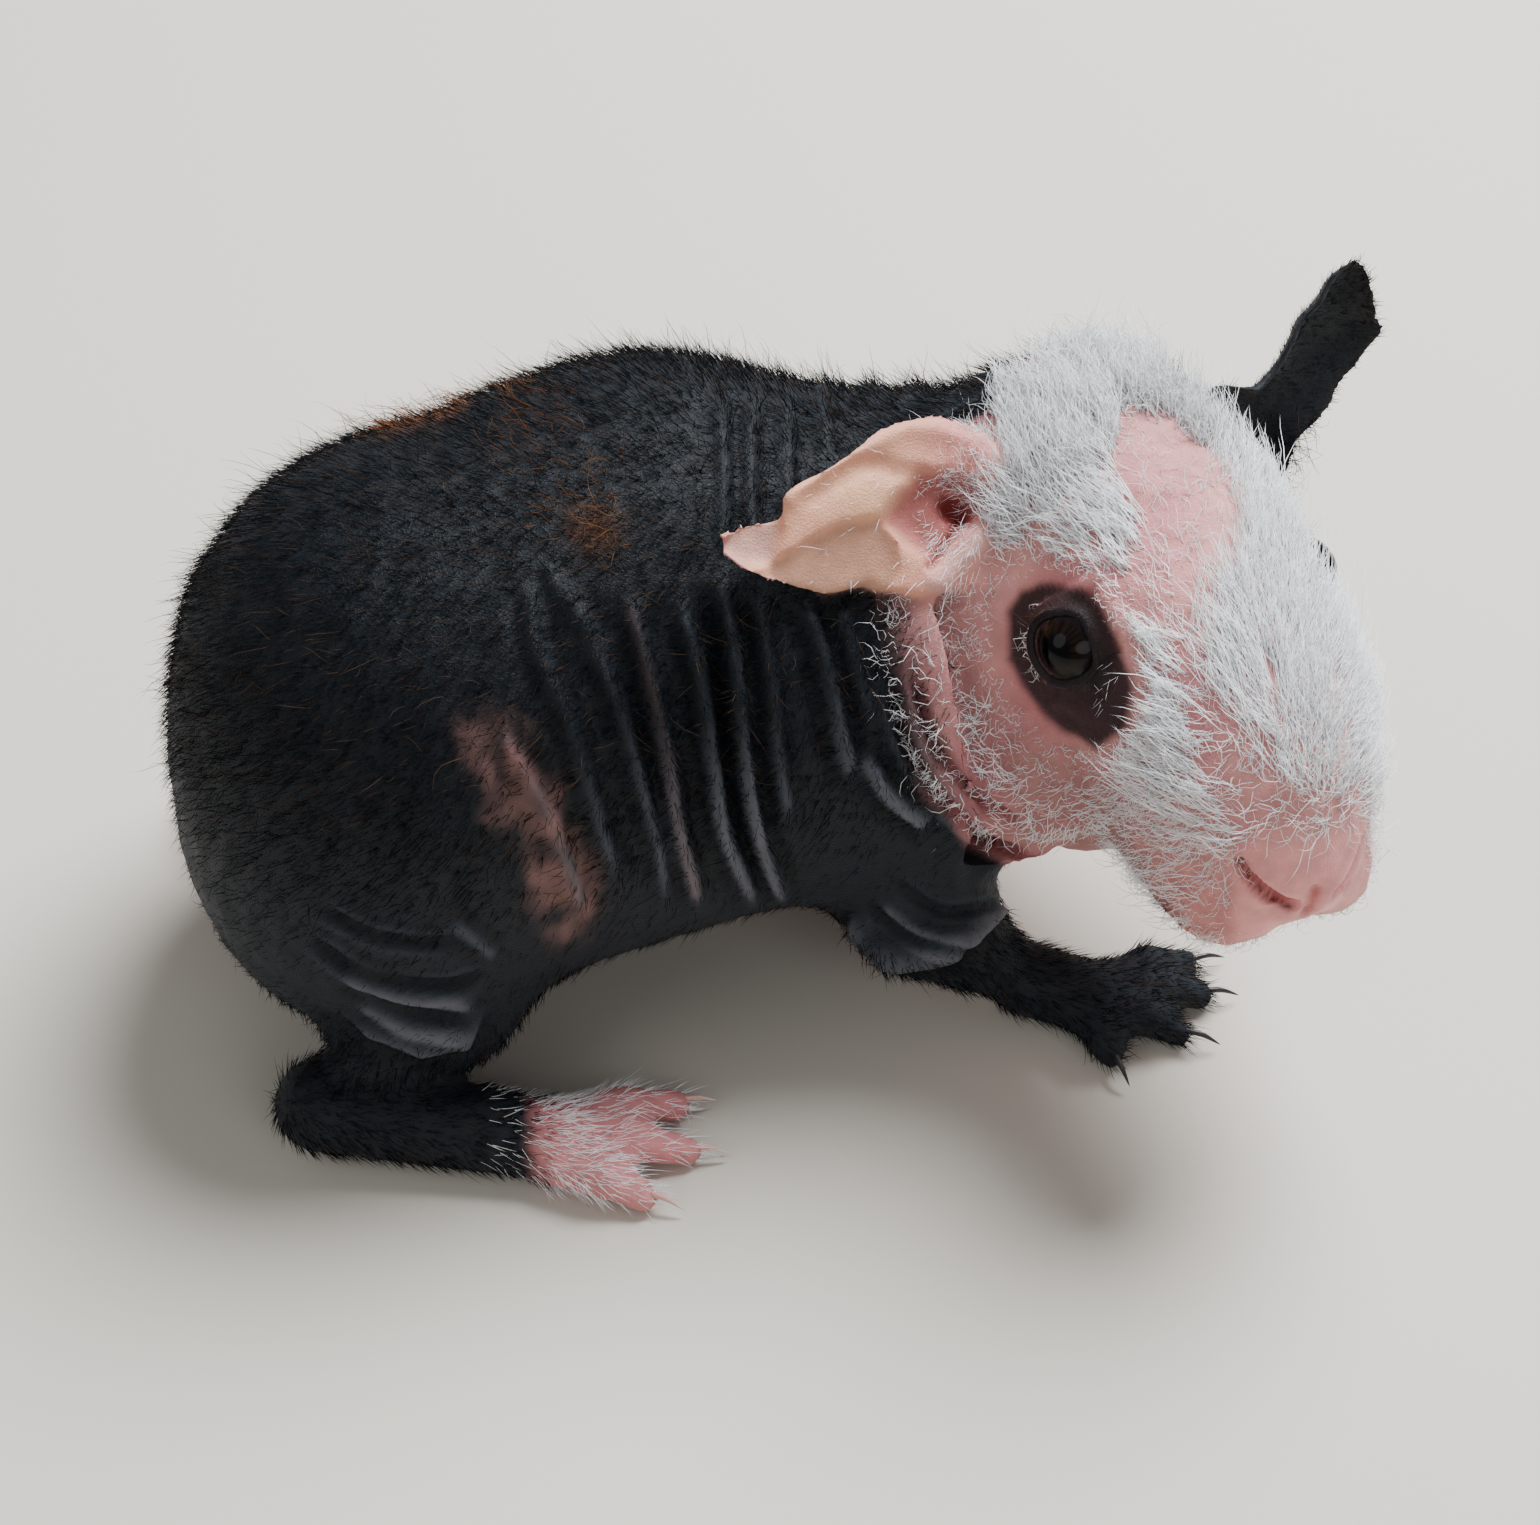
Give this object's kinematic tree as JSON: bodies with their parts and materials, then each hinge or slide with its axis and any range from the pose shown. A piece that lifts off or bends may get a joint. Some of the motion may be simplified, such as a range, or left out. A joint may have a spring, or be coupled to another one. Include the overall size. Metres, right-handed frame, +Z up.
{
  "type": "skinny pig figure",
  "caption": "Life-size model of a young skinny pig standing with its head turned to the side, with hairless wrinkled skin and curly hair on the face and feet.",
  "frame": {"origin": "on the floor under the middle of the animal's bounding box", "axes": "+X forward along the body, +Y to the animal's left, +Z up; the head is turned towards -Y"},
  "size_m": [0.1208, 0.0812, 0.0692],
  "materials": {
    "black_skin": "soft satin skin with fine black fuzz",
    "pink_skin": "soft satin bare skin",
    "eye": "wet gloss",
    "claw": "smooth translucent horn",
    "dark_claw": "smooth dark horn",
    "hair": "fine curly white and black hairs"
  },
  "bodies": {
    "root": {"torso": "black_skin", "neck": "black_skin", "head": "pink_skin", "ear_right": "pink_skin", "eye_right": "eye", "ear_left": "black_skin", "eye_left": "eye", "hindfoot_right": "black_skin", "hindleg_right": "black_skin", "claw_hind_right_1": "claw", "claw_hind_right_2": "claw", "claw_hind_right_3": "claw", "hindfoot_left": "pink_skin", "hindleg_left": "pink_skin", "claw_hind_left_1": "claw", "claw_hind_left_2": "claw", "claw_hind_left_3": "claw", "forefoot_right": "black_skin", "foreleg_right": "black_skin", "claw_fore_right_1": "dark_claw", "claw_fore_right_2": "dark_claw", "claw_fore_right_3": "dark_claw", "claw_fore_right_4": "dark_claw", "forefoot_left": "pink_skin", "foreleg_left": "black_skin", "claw_fore_left_1": "claw", "claw_fore_left_2": "claw", "claw_fore_left_3": "claw", "claw_fore_left_4": "claw"}
  },
  "joints": []
}
